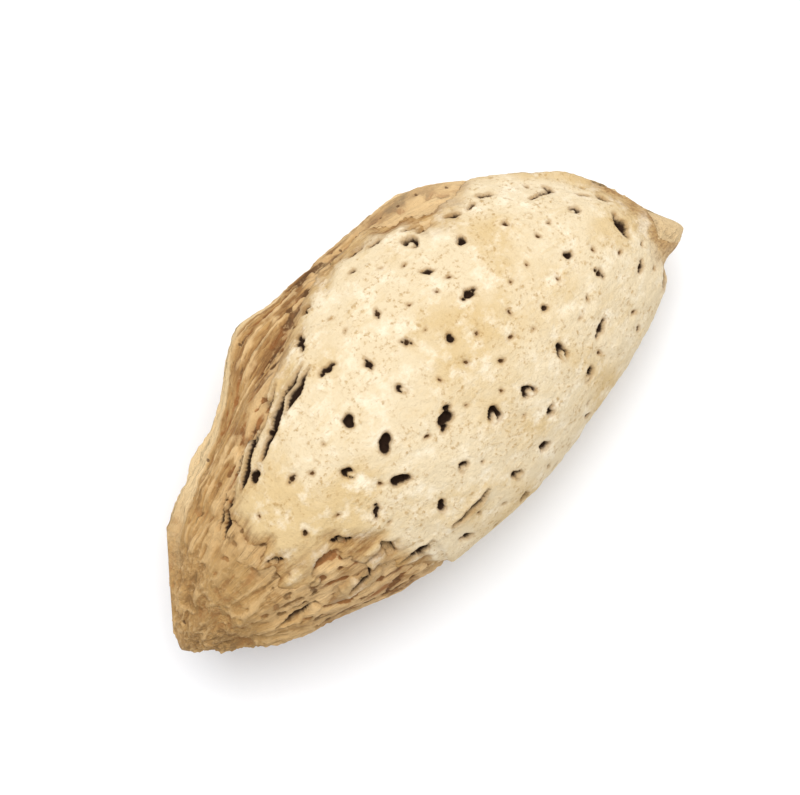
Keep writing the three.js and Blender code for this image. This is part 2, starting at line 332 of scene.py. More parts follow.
TORN_PATCH = (-6.8, 4.2, 2.2, 0.36)
TEARS = [(1.9, 0.26, 1.3, 11)]
TEAR_BREADTH = 0.154
ISLAND_PATCH = (-7.5, 4.0, 2.5, 0.45)
ISLANDS = [(1.3, 0.2, 1.1, 14)]
ISLAND_RIMS = [(0.2, 3, 3, 15)]
ISLAND_SHARE = 0.15
NO_ISLANDS = 2.2
SKIN_END_X = 15.7
END_RAGS = [(0.6, 0.9, 0.9, 5)]
FEATHER_PATCHES = [(1, 0.33, 0.33, 41)]
FEATHER_SOFTNESS = (-0.35, 0.25)
FEATHER_LEAST = 0.45
FEATHERED_STEM = (1, -9.2, -10.4)
FEATHERED_BEAK = (0.8, 13.4, 14.8)
SHARP_APEX = (0.8, 8.5, 10.5)
SHARP_PATCH = (-6.5, 3.5, 0.85, 0.4)
SHARP_SHARE = 0.8


def patch(x, turn, place):
    """A soft patch on both faces, 1 in its middle."""
    middle_x, length, middle_turn, breadth = place
    return bell(x - middle_x, length) * bell(np.abs(fold(turn)) - middle_turn, breadth)


def edge_field(s, turn):
    """Millimetres inside the torn edge of the skin, with what the solid leaves out: teeth along the
    fibres, a narrower bare band by the keel in the apex half, rags at the stem end, tears and islands
    by the back edge, a bare line on the suture, and an end short of the beak."""
    egg = egg_point(s, turn)
    x = egg[..., 0]
    grain = fibre_place(s, turn)
    from_keel = np.abs(fold(turn))
    edge = inside_skin(s, turn) + rough(grain, TEETH)
    reach = ramp(x, KEEL_REACH) + ramp(x, APEX_REACH) + rough(egg, UNEVEN_REACH)
    edge = edge + reach * ease(*REACH_FROM, x) * hill(from_keel, REACH_TURN)
    edge = edge + ease(*BACK_FROM, x) * ease(*BACK_TURNS, from_keel) * rough(egg, BACK_RAGS)
    shredded = ease(*BACK_SHREDS_FROM, x) * ease(*BACK_SHREDS_TURNS, from_keel)
    edge = edge + rough(grain, SHREDS) * np.maximum(ease(*STEM_FROM, x), shredded)
    by_suture = from_keel * section(s)[1] - BARE_SUTURE + rough(grain, SUTURE_RAGS)
    edge = np.minimum(edge, by_suture) + rough(egg, CRUMBLED)
    torn = patch(x, turn, TORN_PATCH)
    tears = np.abs(rough(grain, TEARS)) - TEAR_BREADTH
    edge = np.minimum(edge, edge * (1 - torn) + torn * tears)
    islands = rough(grain, ISLANDS) + rough(egg, ISLAND_RIMS) + ISLAND_SHARE
    edge = np.maximum(edge, islands - NO_ISLANDS * (1 - patch(x, turn, ISLAND_PATCH)))
    return np.minimum(edge, SKIN_END_X - x + rough(egg, END_RAGS))


def feather_field(s, turn):
    """0 where the skin's edge is torn sharply and 1 where it thins out to nothing over a millimetre or
    two: round the stem end, by the beak and in patches elsewhere."""
    egg = egg_point(s, turn)
    x = egg[..., 0]
    patches = ease(*FEATHER_SOFTNESS, rough(egg, FEATHER_PATCHES))
    patches = FEATHER_LEAST + (1 - FEATHER_LEAST) * patches
    feathered = np.maximum(ramp(x, FEATHERED_STEM), ramp(x, FEATHERED_BEAK))
    feathered = np.maximum(feathered, patches * (1 - ramp(x, SHARP_APEX)))
    return feathered * (1 - SHARP_SHARE * patch(x, turn, SHARP_PATCH))


# Splits along the torn edges, at the solid's own places. A row is where it starts and ends, its step,
# its turn and the length of its splits. Finer ones beside those by the keel aren't in the solid. A sway
# is a height, radians for each millimetre and a shift for each unit of s.
SLIT_SEED = 911
SLIT_ROWS = ((-10.5, -2.5, 2.1, 0.98, 2.6), (-11, -0.5, 3.2, 2.4, 1.9))
SLIT_SHIFT = 0.8
SLIT_SCATTER = 0.16
SLIT_LENGTHS = (0.7, 1.4)
SLIT_HALF_WIDTH = 0.2
SLIT_HALF_LENGTH = 0.58
SLIT_SWAYS = ((0.1, 1.4, 40), (0.03, 5, 90))
SLIT_UNEVEN = (0.2, 3.1, 17)
FINE_SLIT_SEED = 640
FINE_SLIT_AWAY = (0.5, 0.65)
FINE_SLIT_SHIFT = (-0.015, 0.035)
FINE_SLIT_LENGTH = 0.8
FINE_SLIT_HALF_WIDTH = 0.1
BY_KEEL = 1.5
KEEL_SLANT = 0.34
BACK_SLANT = 0.2
SLIT_REACH = 3.4
FAR_OFF = 1.0


def within(span, share):
    """What lies that share of the way along a span."""
    low, high = span
    return low + (high - low) * share


def draws_from(seed):
    """Repeatable draws from 0 to 1, by the minimal standard generator."""
    factor, modulus = 16807, 2147483647
    state = seed
    while True:
        state = state * factor % modulus
        yield state / modulus


def slit_list():
    """Long splits along the torn edges on both faces, in the stem half: even steps with seeded shifts.
    By each one near the keel runs a finer one, on the side of the keel. Each is its s, its turn, its
    length and half its width."""
    draw = draws_from(SLIT_SEED)
    kept = []
    for face in (1, -1):
        for start, end, step, turn, length in SLIT_ROWS:
            x = start
            while x < end:
                s = (x + SLIT_SHIFT * next(draw)) / HALF_LENGTH
                at = face * (turn + SLIT_SCATTER * (next(draw) - 0.5))
                kept.append((s, at, length * within(SLIT_LENGTHS, next(draw)), SLIT_HALF_WIDTH))
                x += step
    draw = draws_from(FINE_SLIT_SEED)
    for s, turn, length, _ in [slit for slit in kept if abs(slit[1]) < BY_KEEL]:
        away = within(FINE_SLIT_AWAY, next(draw)) / section(s)[1]
        s = s + within(FINE_SLIT_SHIFT, next(draw))
        at = turn - math.copysign(away, turn)
        kept.append((s, at, FINE_SLIT_LENGTH * length, FINE_SLIT_HALF_WIDTH))
    return kept


def holes_at(s, turn):
    """Each hole's centre and the ways along and across the nut there."""
    step = 0.02
    along = egg_point(s + step, turn) - egg_point(s - step, turn)
    along = along / np.linalg.norm(along, axis=-1, keepdims=True)
    across = egg_point(s, turn + step) - egg_point(s, turn - step)
    across = across - along * (across * along).sum(-1, keepdims=True)
    across = across / np.linalg.norm(across, axis=-1, keepdims=True)
    return solid_point(s, turn), along, across


def sway(kind, a, s):
    """A sine along a split, shifted by the split's own s."""
    height, quickness, shift = kind
    return height * np.sin(quickness * a + shift * s)


def slit_field(points):
    """Millimetres from each point to the nearest split's rim, below 0 inside: how far it is off a wavy
    slanting line, less a half width that goes to nothing at both ends."""
    nearest = np.full(points.shape[:-1], FAR_OFF)
    for s, turn, length, half_width in slit_list():
        centre, along, across = holes_at(np.array(s), np.array(turn))
        way = points - centre
        near = (way**2).sum(-1) < SLIT_REACH**2
        a = way[near] @ along
        b = way[near] @ across + sum(sway(kind, a, s) for kind in SLIT_SWAYS)
        b = b + math.copysign(KEEL_SLANT if abs(turn) < BY_KEEL else BACK_SLANT, turn) * a
        half_length = SLIT_HALF_LENGTH * length
        width = half_width * (np.clip(1 - (a / half_length) ** 2, 0, 1) + sway(SLIT_UNEVEN, a, s))
        there = np.maximum(np.abs(b) - np.maximum(width, 0), np.abs(a) - half_length)
        nearest[near] = np.minimum(nearest[near], there)
    return nearest


# The grid that both layers are made on
ROWS = 330
COLUMNS = 296
FINE_STEPS = 6001


def crowded(count, places, path, weight):
    """count of the places, closest where weight is greatest: the running sum of weight for each
    millimetre of the path through them, read backwards at even steps."""
    steps = np.linalg.norm(np.diff(path(places), axis=0), axis=-1)
    total = np.concatenate([[0], np.cumsum(weight((places[1:] + places[:-1]) / 2) * steps)])
    return np.interp(np.linspace(0, total[-1], count), total, places)


def grid_of(along_weight, round_weight):
    """Each point's s and turn: rows crowded by a weight of x, over the widest outline, and columns by a
    weight of the turn, over the middle girth."""

    def outline(s):
        return np.stack([HALF_LENGTH * s, section(s)[1]], -1)

    def girth(turn):
        return egg_point(0 * turn, turn)

    bunched = np.cos(np.linspace(0, math.pi, FINE_STEPS))
    s = crowded(ROWS + 2, -bunched, outline, lambda s: along_weight(HALF_LENGTH * s))[1:-1]
    turn = crowded(COLUMNS + 1, math.pi - math.pi * bunched, girth, round_weight)[:-1]
    return np.meshgrid(s, turn, indexing="ij")


def closed_grid(points):
    """Faces of a closed surface on a grid: rows from the stem end to the apex, columns round the nut,
    and a ring of triangles to the mean of the end row at each tip. Returns the vertices and faces."""
    rows, columns = points.shape[:2]
    tips = [points[0].mean(0), points[-1].mean(0)]
    here = np.arange(rows * columns).reshape(rows, columns)
    beside = np.roll(here, -1, axis=1)
    quads = np.stack([here[:-1], beside[:-1], beside[1:], here[1:]], -1).reshape(-1, 4)
    stem = np.stack([beside[0], here[0], 0 * here[0] + rows * columns], -1)
    apex = np.stack([here[-1], beside[-1], 0 * here[0] + rows * columns + 1], -1)
    return np.concatenate([points.reshape(-1, 3), tips]), quads.tolist() + stem.tolist() + apex.tolist()


def make_piece(name, points, marks, material):
    """One closed piece of the nut, from a grid of points in metres, with a number or a place for each
    point, that its material reads."""
    vertices, faces = closed_grid(points)
    mesh = bpy.data.meshes.new(name)
    mesh.from_pydata(vertices, [], faces)
    for mark_name, values in marks.items():
        flat = values.reshape(-1, *values.shape[2:])
        flat = np.concatenate([flat, [values[0].mean(0), values[-1].mean(0)]])
        is_place = values.ndim == 3
        layer = mesh.attributes.new(mark_name, "FLOAT_VECTOR" if is_place else "FLOAT", "POINT")
        layer.data.foreach_set("vector" if is_place else "value", flat.astype(np.float32).ravel())
    mesh.shade_smooth()
    mesh.materials.append(material)
    piece = bpy.data.objects.new(name, mesh)
    bpy.context.scene.collection.objects.link(piece)
    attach(piece, "root")
    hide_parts("nut")
    return piece


# The shell's own relief: fibres above all, lumps that are greatest at the stem end, pores along the
# skin's edge and a line of dots by the keel. Then how far it is sunk, and what crowds its rows and
# columns.
FIBRES = [(0.4, 0.3, 1.2, 21), (0.4, 0.5, 2.6, 22), (0.3, 1.1, 5.5, 23)]
SPLINTERS = [(0.2, 3.2, 3.2, 25)]
LUMPS = [(1, 0.6, 0.6, 24), (0.6, 1.3, 1.3, 26)]
LUMPS_ON_SIDES = 0.25
LUMPY_STEM = (0.75, -8, -11.5)
LUMPS_IN_FIBRES = 0.35
STRANDS = [(1, 0.11, 0.8, 27)]
STRAND_OFFSET = 0.1
STRAND_WIDTH = 0.09
STRAND_PATCHES = [(1, 0.4, 0.4, 29)]
STRAND_PATCH_EDGE = (-0.3, 0.3)
STRAND_HEIGHT = 0.6
PORES = [(1, 1.6, 2.6, 28)]
PORE_WALL = (0.22, 0.5)
PORES_BY_EDGE = (1, -0.5, 1.0)
PORE_DEPTH = 0.9
FIBRE_HEIGHT = 0.2
LUMP_HEIGHT = 0.2
SHELL_DUST = [(0.03, 6, 6, 30)]
SHELL_DOWN = 0.08
KEEL_DOWN = (0.09, 0, 1.6)
DOTS_TO_MM = 1.15
DOT_UNEVEN = [(0.35, 0.8, 0.8, 35)]
DOT_LENGTH = 0.28
DOT_LINE = (1, 1.35, 0.13)
DOT_PATCHES = [(1, 0.7, 0.7, 36)]
DOT_PATCH_EDGE = (-0.35, 0.1)
DOT_DEPTH = 0.15
UNDER_SKIN = (0.95, 0.25, 0.8)
SLIT_DEPTH = (0.6, 0.04, -0.1)
SLIT_ENDS_INSIDE = (1.2, 0.4)
SHELL_TIPS_FROM = 0.96
SHELL_ROWS_STEM = (1.2, -8, -10)
FEWEST_SHELL_COLUMNS = 0.5
SHELL_COLUMNS_KEEL = (2.5, 0, 0.9)
SHELL_COLUMNS_BACK = (1.2, 0, 1.0)


def shell_rows(x):
    """Rows lie closer round the crumbled stem end."""
    return 1 + ramp(x, SHELL_ROWS_STEM)


def shell_columns(turn):
    """Columns lie closer by the keel and the back edge, where the shell is bare."""
    by_back = hill(fold(turn - math.pi), SHELL_COLUMNS_BACK)
    return FEWEST_SHELL_COLUMNS + hill(fold(turn), SHELL_COLUMNS_KEEL) + by_back


shell_s, shell_turn = grid_of(shell_rows, shell_columns)
shell_egg = egg_point(shell_s, shell_turn)
shell_x = shell_egg[..., 0]
shell_grain = fibre_place(shell_s, shell_turn)
shell_edge = edge_field(shell_s, shell_turn)
shell_slit = slit_field(solid_point(shell_s, shell_turn))
shell_keel = np.abs(fold(shell_turn)) * section(shell_s)[1]

lumps = rough(shell_egg, LUMPS) * (LUMPS_ON_SIDES + ramp(shell_x, LUMPY_STEM))
strands = ease(STRAND_WIDTH, 0.0, np.abs(rough(shell_grain, STRANDS) + STRAND_OFFSET))
strands = strands * ease(*STRAND_PATCH_EDGE, rough(shell_egg, STRAND_PATCHES))
pores = ease(*PORE_WALL, rough(shell_egg, PORES)) * hill(shell_edge, PORES_BY_EDGE)
fibres = rough(shell_grain, FIBRES) + rough(shell_egg, SPLINTERS) + LUMPS_IN_FIBRES * lumps
fibres = fibres + STRAND_HEIGHT * strands - PORE_DEPTH * pores

dot_steps = DOTS_TO_MM * shell_x + rough(shell_egg, DOT_UNEVEN)
keel_dots = bell(np.sin(math.pi * dot_steps), DOT_LENGTH) * hill(shell_keel, DOT_LINE)
keel_dots = keel_dots * ease(*DOT_PATCH_EDGE, rough(shell_egg, DOT_PATCHES))

shell_cover = FIBRE_HEIGHT * fibres + LUMP_HEIGHT * lumps + rough(shell_egg, SHELL_DUST) - SHELL_DOWN
shell_cover = shell_cover - DOT_DEPTH * keel_dots - hill(shell_keel, KEEL_DOWN)
shell_cover = shell_cover - ramp(shell_edge, UNDER_SKIN)
shell_cover = shell_cover - ramp(shell_slit, SLIT_DEPTH) * ease(*SLIT_ENDS_INSIDE, shell_edge)
shell_cover = shell_cover * ease(1, SHELL_TIPS_FROM, np.abs(shell_s))
shell_points = nut_point(shell_s, shell_turn, shell_cover, ease(SKIN_STEP, -SKIN_STEP, shell_edge))


def paint(red, green, blue):
    """A colour of 0 to 255 as on a screen, as the shader's own linear colour."""
    share = np.array([red, green, blue]) / 255
    linear = np.where(share < 0.04045, share / 12.92, ((share + 0.055) / 1.055) ** 2.4)
    return (*linear.tolist(), 1.0)


def add(tree, kind, inputs=None, **settings):
    """A node in the tree, with its settings, and with values or other nodes' sockets in its inputs."""
    made = tree.nodes.new("ShaderNode" + kind)
    for setting, value in settings.items():
        setattr(made, setting, value)
    for socket, value in (inputs or {}).items():
        if isinstance(value, bpy.types.NodeSocket):
            tree.links.new(value, made.inputs[socket])
        else:
            made.inputs[socket].default_value = value
    return made


def sum_of(tree, operation, *values):
    """What a Math node makes of the values."""
    return add(tree, "Math", dict(enumerate(values)), operation=operation).outputs[0]


def plus(tree, value, pattern, amount):
    """The value, with so much of a pattern added."""
    return sum_of(tree, "MULTIPLY_ADD", pattern, amount, value)


def between(tree, value, low, high, most=1.0):
    """A mask: 0 where the value is low or beyond, most where it is high or beyond, smooth between."""
    inputs = {"Value": value, "From Min": low, "From Max": high, "To Max": most}
    return add(tree, "MapRange", inputs, interpolation_type="SMOOTHSTEP").outputs["Result"]


def mixed(tree, mask, first, second):
    """The first colour, with the second over it where the mask is."""
    return add(tree, "Mix", {"Factor": mask, 6: first, 7: second}, data_type="RGBA").outputs[2]


def noise_node(tree, place, scale, detail, roughness=0.55):
    """The value, 0 to 1, of smooth noise at a place in millimetres."""
    inputs = {"Vector": place, "Scale": scale, "Detail": detail, "Roughness": roughness}
    return add(tree, "TexNoise", inputs).outputs["Fac"]


def new_group(name, inputs, outputs):
    """An empty shader group, with its sockets' names and kinds, and its two end nodes."""
    group = bpy.data.node_groups.new(name, "ShaderNodeTree")
    for socket, kind in inputs.items():
        group.interface.new_socket(socket, in_out="INPUT", socket_type="NodeSocket" + kind)
    for socket, kind in outputs.items():
        group.interface.new_socket(socket, in_out="OUTPUT", socket_type="NodeSocket" + kind)
    return group, group.nodes.new("NodeGroupInput").outputs, group.nodes.new("NodeGroupOutput").inputs


def group_in(tree, group, inputs):
    """The outputs of a shader group placed in a material's tree."""
    return add(tree, "Group", inputs, node_tree=group).outputs


def new_material(name):
    """A material with its tree, its shader and its object's own place in millimetres."""
    material = bpy.data.materials.new(name)
    material.use_nodes = True
    tree = material.node_tree
    shader = tree.nodes["Principled BSDF"]
    place = add(tree, "TexCoord").outputs["Object"]
    place = add(tree, "VectorMath", {0: place, "Scale": 1 / MM}, operation="SCALE").outputs[0]
    return material, tree, shader, place


def mark(tree, name, output="Fac"):
    """What the piece's mesh holds at that name."""
    return add(tree, "Attribute", attribute_name=name).outputs[output]


# Streaks: the fibres' own light and dark lines, drawn out along the first axis of the place. Each kind
# of line is its scale, its detail and its share.
STREAK_KINDS = ((1.6, 2.0, 0.45), (6.0, 3.0, 0.4), (14.0, 2.0, 0.15))
HAIR_HEIGHT = 0.6

streaks_group, into, out = new_group(
    "fibre streaks",
    {"Place": "Vector", "Drawn Out": "Float"},
    {"Streaks": "Float", "Height": "Float"},
)
stretch = add(streaks_group, "CombineXYZ", {"X": into["Drawn Out"], "Y": 1.0, "Z": 1.0}).outputs[0]
drawn = add(streaks_group, "VectorMath", {0: into["Place"], 1: stretch}, operation="MULTIPLY").outputs[0]
lines = []
total = 0.0
for scale, detail, share in STREAK_KINDS:
    lines.append(noise_node(streaks_group, drawn, scale, detail))
    total = plus(streaks_group, total, lines[-1], share)
_, fine, hair = lines
streaks_group.links.new(total, out["Streaks"])
streaks_group.links.new(plus(streaks_group, fine, hair, HAIR_HEIGHT), out["Height"])

# Sandy grain: the short corky cells, as specks of a tenth of a millimetre or two, and dust. Mottling is
# patches of a millimetre or so.
SPECKLED_CELLS = (0.5, 0.74)
SPECKLED_PATCHES = (0.38, 0.6)
DUST_HEIGHT = 0.8

grain_group, into, out = new_group(
    "sandy grain",
    {"Place": "Vector"},
    {"Mottling": "Float", "Specks": "Float", "Height": "Float"},
)
mottling = noise_node(grain_group, into["Place"], scale=0.9, detail=4.0, roughness=0.65)
cells = noise_node(grain_group, into["Place"], scale=4.6, detail=2.0, roughness=0.6)
sparse = noise_node(grain_group, into["Place"], scale=0.8, detail=2.0)
dust = noise_node(grain_group, into["Place"], scale=9.0, detail=3.0, roughness=0.75)
speckled = between(grain_group, sparse, *SPECKLED_PATCHES)
grain_group.links.new(mottling, out["Mottling"])
grain_group.links.new(between(grain_group, cells, *SPECKLED_CELLS, speckled), out["Specks"])
grain_group.links.new(plus(grain_group, cells, dust, DUST_HEIGHT), out["Height"])

# The shell's colours, and the masks that lay them on: where each starts, where it is full, and how much
# of its colour there is then.
SHELL_TAN = paint(184, 142, 87)
SHELL_BROWN = paint(136, 94, 50)
SHELL_DARK = paint(88, 56, 27)
SHELL_RUST = paint(150, 94, 44)
SHELL_PALE = paint(226, 190, 137)
SHELL_STRAW = paint(196, 156, 98)
KEEL_PALE = paint(226, 196, 148)
BEAK_PALE = paint(232, 202, 154)
SLIT_SHADE = paint(58, 36, 18)
SHELL_DRAWN_OUT = 0.12
TAN_STREAKS = (0.4, 0.6)
STRAW_PATCHES = (0.45, 0.65, 0.6)
RIDGE_HIGHLIGHT = (0.05, 0.45, 0.8)
SKIN_REMAINS = (-0.2, 0.8, 0.65)
LOW_SHADE = (-0.08, -0.38, 0.88)
RUST_PATCHES = (0.42, 0.56)
STRAW_STEM = (-8.0, -12.0, 0.45)
PALE_SPECKS = 0.4
EDGE_SHADE = (-0.25, 0.25)
PALE_APEX = (0.0, 9.0, 0.45)
PALE_BEAK = (10.0, 13.5, 0.8)
LIP_STARTS = (-12.0, -8.5)
LIP_WIDENS = (-3.0, -7.0, 0.7)
PALE_LIP = (1.05, 0.7)
DARK_SUTURE = (0.38, 0.25)
SUTURE_DARKNESS = 0.5
DARK_DOTS = (0.35, 0.6, 0.8)
SLIT_SHADE_SPAN = (0.05, -0.03)

shell_material, tree, shader, place = new_material("shell fibre")
along_fibres = {"Place": mark(tree, "fibre place", "Vector"), "Drawn Out": SHELL_DRAWN_OUT}
streaks = group_in(tree, streaks_group, along_fibres)
grain = group_in(tree, grain_group, {"Place": place})
mottling = grain["Mottling"]
patches = noise_node(tree, place, scale=0.35, detail=4.0, roughness=0.6)
ridge = mark(tree, "ridge")
edge = mark(tree, "edge")
along = mark(tree, "along")

colour = mixed(tree, between(tree, streaks["Streaks"], *TAN_STREAKS), SHELL_BROWN, SHELL_TAN)
colour = mixed(tree, between(tree, patches, *STRAW_PATCHES), colour, SHELL_STRAW)
# Painted highlight: the raised fibres are made paler.
colour = mixed(tree, between(tree, ridge, *RIDGE_HIGHLIGHT), colour, SHELL_PALE)
remains = between(tree, plus(tree, edge, mottling, amount=2.4), *SKIN_REMAINS)
colour = mixed(tree, remains, colour, SHELL_PALE)
# Painted shade in the pores and the low places between the fibres, dark brown, and rust brown in patches.
deep = mixed(tree, between(tree, patches, *RUST_PATCHES), SHELL_DARK, SHELL_RUST)
colour = mixed(tree, between(tree, ridge, *LOW_SHADE), colour, deep)
colour = mixed(tree, between(tree, along, *STRAW_STEM), colour, SHELL_STRAW)
colour = mixed(tree, sum_of(tree, "MULTIPLY", grain["Specks"], PALE_SPECKS), colour, SHELL_PALE)
# Painted shade: the shell is darkened along the foot of the skin's torn edge, most where the edge is torn
# sharply and least where it is feathered.
edge_shade = between(tree, plus(tree, edge, mottling, amount=0.3), *EDGE_SHADE, mark(tree, "sharp"))
colour = mixed(tree, edge_shade, colour, SHELL_DARK)
colour = mixed(tree, between(tree, along, *PALE_APEX), colour, KEEL_PALE)
colour = mixed(tree, between(tree, along, *PALE_BEAK), colour, BEAK_PALE)

# The keel's pale lips with the dark suture between them, from past the stem end to the beak
keel = plus(tree, mark(tree, "keel"), mottling, amount=0.4)
started = between(tree, plus(tree, along, mottling, amount=5.0), *LIP_STARTS)
lip = sum_of(tree, "SUBTRACT", keel, between(tree, along, *LIP_WIDENS))
colour = mixed(tree, between(tree, lip, *PALE_LIP, started), colour, KEEL_PALE)
darkness = sum_of(tree, "MULTIPLY", started, SUTURE_DARKNESS)
colour = mixed(tree, between(tree, keel, *DARK_SUTURE, darkness), colour, SHELL_DARK)
colour = mixed(tree, between(tree, mark(tree, "dots"), *DARK_DOTS), colour, SHELL_DARK)
# Painted shade in the splits' crevices.
slit = plus(tree, mark(tree, "slit"), mottling, amount=0.06)
colour = mixed(tree, between(tree, slit, *SLIT_SHADE_SPAN), colour, SLIT_SHADE)

tree.links.new(colour, shader.inputs["Base Color"])
shader.inputs["Roughness"].default_value = 0.82
shader.inputs["Specular IOR Level"].default_value = 0.3
height = plus(tree, streaks["Height"], grain["Height"], amount=0.5)
bump = add(tree, "Bump", {"Height": height, "Strength": 0.9, "Distance": 0.16 * MM}).outputs["Normal"]
tree.links.new(bump, shader.inputs["Normal"])

# What the shell's mesh tells its material
EDGE_LIMIT = 3
# The share of painted shade at the foot of the skin's edge, carried by the mark sharp: most where the edge
# is torn sharply, least where it is feathered.
MOST_EDGE_SHADE = 0.7
FEATHERED_EDGE_SHADE = 0.1

edge_shade_share = MOST_EDGE_SHADE - (MOST_EDGE_SHADE - FEATHERED_EDGE_SHADE) * feather_field(shell_s, shell_turn)
shell_marks = {
    "fibre place": shell_grain,
    "ridge": fibres,
    "edge": np.clip(shell_edge, -EDGE_LIMIT, EDGE_LIMIT),
    "slit": shell_slit,
    "along": shell_x,
    "sharp": edge_shade_share,
    "keel": shell_keel,
    "dots": keel_dots,
}
make_piece("shell", on_the_floor(shell_points), shell_marks, shell_material)


# The skin: a pale corky layer a third of a millimetre thick, that grew over both faces and has torn off
# along a ragged line. It is full of pits, where cords of the hull ran in. Their floors are painted dark:
# partly their own dark brown, and partly painted shade, darker the deeper the pit. The solid has the
# larger ones, and the smallest, the dents and the dashes by the keel are the skin's alone.
PIT_SEED = 20417
PIT_TRIES = 900
PIT_REGION = (-0.72, 0.9)
PIT_SPACING = 1.85
PIT_FROM_EDGE = 0.5
PIT_RADIUS = (0.14, 0.47)
SMALL_PITS = 1.3
PIT_STRETCH = 1.2
DENT_SEED = 3313
DENT_TRIES = 420
DENT_REGION = (-0.7, 0.9)
DENT_SPACING = 1.0
DENT_FROM_EDGE = 0.3
DENT_RADIUS = (0.06, 0.14)
DENT_STRETCH = 1.5
DASH_ROW = (1.5, 14.0, 1.15)
DASH_SHIFT = 0.8
DASH_BAND = 0.25
DASH_BAND_SHOULDER = (0.18, 6, 3)
DASH_BAND_APEX = (0.1, 9, 11)
DASH_INSIDE = (0.6, 1.1)
DASH_INSIDE_APEX = (0.6, 4, 8)
DASH_RADIUS = (0.18, 0.3)
DASH_STRETCH = 3.0
DASH_SPIN = (-0.2, 0.2)


def darts(tries, region, from_edge, spacing, taken):
    """Darts thrown at the nut, one for each row of draws, of which the first two say where: in the
    region's part of s, and anywhere round. A dart is kept, and its place taken, if it lands well inside
    the skin's edge and clear of the places taken before. Returns each one's s, turn and other draws."""
    s, turn = within(region, tries[:, 0]), 2 * math.pi * tries[:, 1]
    places = solid_point(s, turn)
    well_inside = inside_skin(s, turn) > from_edge
    kept = []
    for i, place in enumerate(places):
        if well_inside[i] and all(np.linalg.norm(place - other) > spacing for other in taken):
            taken.append(place)
            kept.append((s[i], turn[i], *tries[i, 2:]))
    return kept


def pit_list():
    """The pits by the solid's own seeded darts, then dents by darts thrown between them, then the row
    of dashes by the keel on both faces. Each is its s, its turn, its radius, its length over its
    breadth and its spin."""
    taken = []
    pits = []
    draw = draws_from(PIT_SEED)
    tries = np.array([[next(draw) for _ in range(5)] for _ in range(PIT_TRIES)])
    for s, turn, size, stretch, spin in darts(tries, PIT_REGION, PIT_FROM_EDGE, PIT_SPACING, taken):
        radius = within(PIT_RADIUS, size**SMALL_PITS)
        pits.append((s, turn, radius, 1 + PIT_STRETCH * stretch**3, math.pi * spin))
    draw = draws_from(DENT_SEED)
    tries = np.array([[next(draw) for _ in range(4)] for _ in range(DENT_TRIES)])
    for s, turn, size, spin in darts(tries, DENT_REGION, DENT_FROM_EDGE, DENT_SPACING, taken):
        pits.append((s, turn, within(DENT_RADIUS, size), DENT_STRETCH, math.pi * spin))
    for x in np.arange(*DASH_ROW):
        for face in (1, -1):
            s = (x + DASH_SHIFT * next(draw)) / HALF_LENGTH
            band = DASH_BAND + hill(x, DASH_BAND_SHOULDER) + ramp(x, DASH_BAND_APEX)
            inside = within(DASH_INSIDE, next(draw)) + ramp(x, DASH_INSIDE_APEX)
            turn = face * (band + inside / section(s)[1])
            radius, spin = within(DASH_RADIUS, next(draw)), within(DASH_SPIN, next(draw))
            pits.append((s, turn, radius, DASH_STRETCH, spin))
    return pits


# The pits' shapes. Islands and twins are measured in their pit's radius, and a pit has either only if
# its draw is low enough and its radius is great enough.
PIT_SHAPE_SEED = 5077
PIT_SCALE = 0.88
PIT_REACH = 2.2
LEAST_DEPTH = 0.15
DEPTH_FOR_RADIUS = 1.5
LOBE_GIRTH = 0.95
LOBE_WAVES = ((0.14, 2, 1), (0.1, 3, 2.7), (0.04, 5, 5))
WITH_ISLAND = 0.4
ISLAND_LEAST = 0.22
ISLAND_AWAY = (0.5, 0.95)
ISLAND_SIZE = 0.45
ISLAND_FOOT = 0.06
WITH_TWINS = 0.75
TWINS_LEAST = 0.15
TWIN_AWAY = (0.95, 1.45)
TWIN_BESIDE = 0.55
TWIN_SIZE = (0.35, 0.6)
TWIN_STRETCH = 1.4


def lobe(a, b, radius, stretch, wobble):
    """Millimetres outside one lobe of a pit: an ellipse whose rim goes in and out by sines."""
    angle = np.arctan2(b, a)
    rim = LOBE_GIRTH + sum(deep * np.sin(times * angle + by * wobble) for deep, times, by in LOBE_WAVES)
    drawn_out = math.sqrt(stretch)
    return (np.hypot(a / drawn_out, b * drawn_out) / (radius * rim) - 1) * radius


def pit_field(points):
    """Millimetres from each point to the nearest pit's rim, below 0 inside, and how deep that pit is. A
    pit is one lobe, or a lobe with an island in it, or a lobe with a smaller one on either side."""
    nearest = np.full(points.shape[:-1], FAR_OFF)
    depth = np.zeros(points.shape[:-1])
    draw = draws_from(PIT_SHAPE_SEED)
    for s, turn, radius, stretch, spin in pit_list():
        kind, wobble, shift = next(draw), 2 * math.pi * next(draw), next(draw)
        radius = PIT_SCALE * radius
        centre, along, across = holes_at(np.array(s), np.array(turn))
        way = points - centre
        near = (way**2).sum(-1) < PIT_REACH**2
        a, b = way[near] @ along, way[near] @ across
        a, b = a * math.cos(spin) + b * math.sin(spin), b * math.cos(spin) - a * math.sin(spin)
        there = lobe(a, b, radius, stretch, wobble)
        if kind < WITH_ISLAND and radius > ISLAND_LEAST:
            island_a = a - within(ISLAND_AWAY, shift) * radius
            island = lobe(island_a, b, ISLAND_SIZE * radius, stretch, 2 * wobble)
            there = np.maximum(there, ISLAND_FOOT - island)
        elif kind < WITH_TWINS and radius > TWINS_LEAST:
            for side in (1, -1):
                twin_a = a - side * within(TWIN_AWAY, shift) * radius
                twin_b = b + side * TWIN_BESIDE * radius
                twin_radius = within(TWIN_SIZE, shift) * radius
                twin = lobe(twin_a, twin_b, twin_radius, TWIN_STRETCH, wobble + side)
                there = np.minimum(there, twin)
        closer = there < nearest[near]
        near[near] = closer
        nearest[near] = there[closer]
        depth[near] = LEAST_DEPTH + DEPTH_FOR_RADIUS * radius
    return nearest, depth


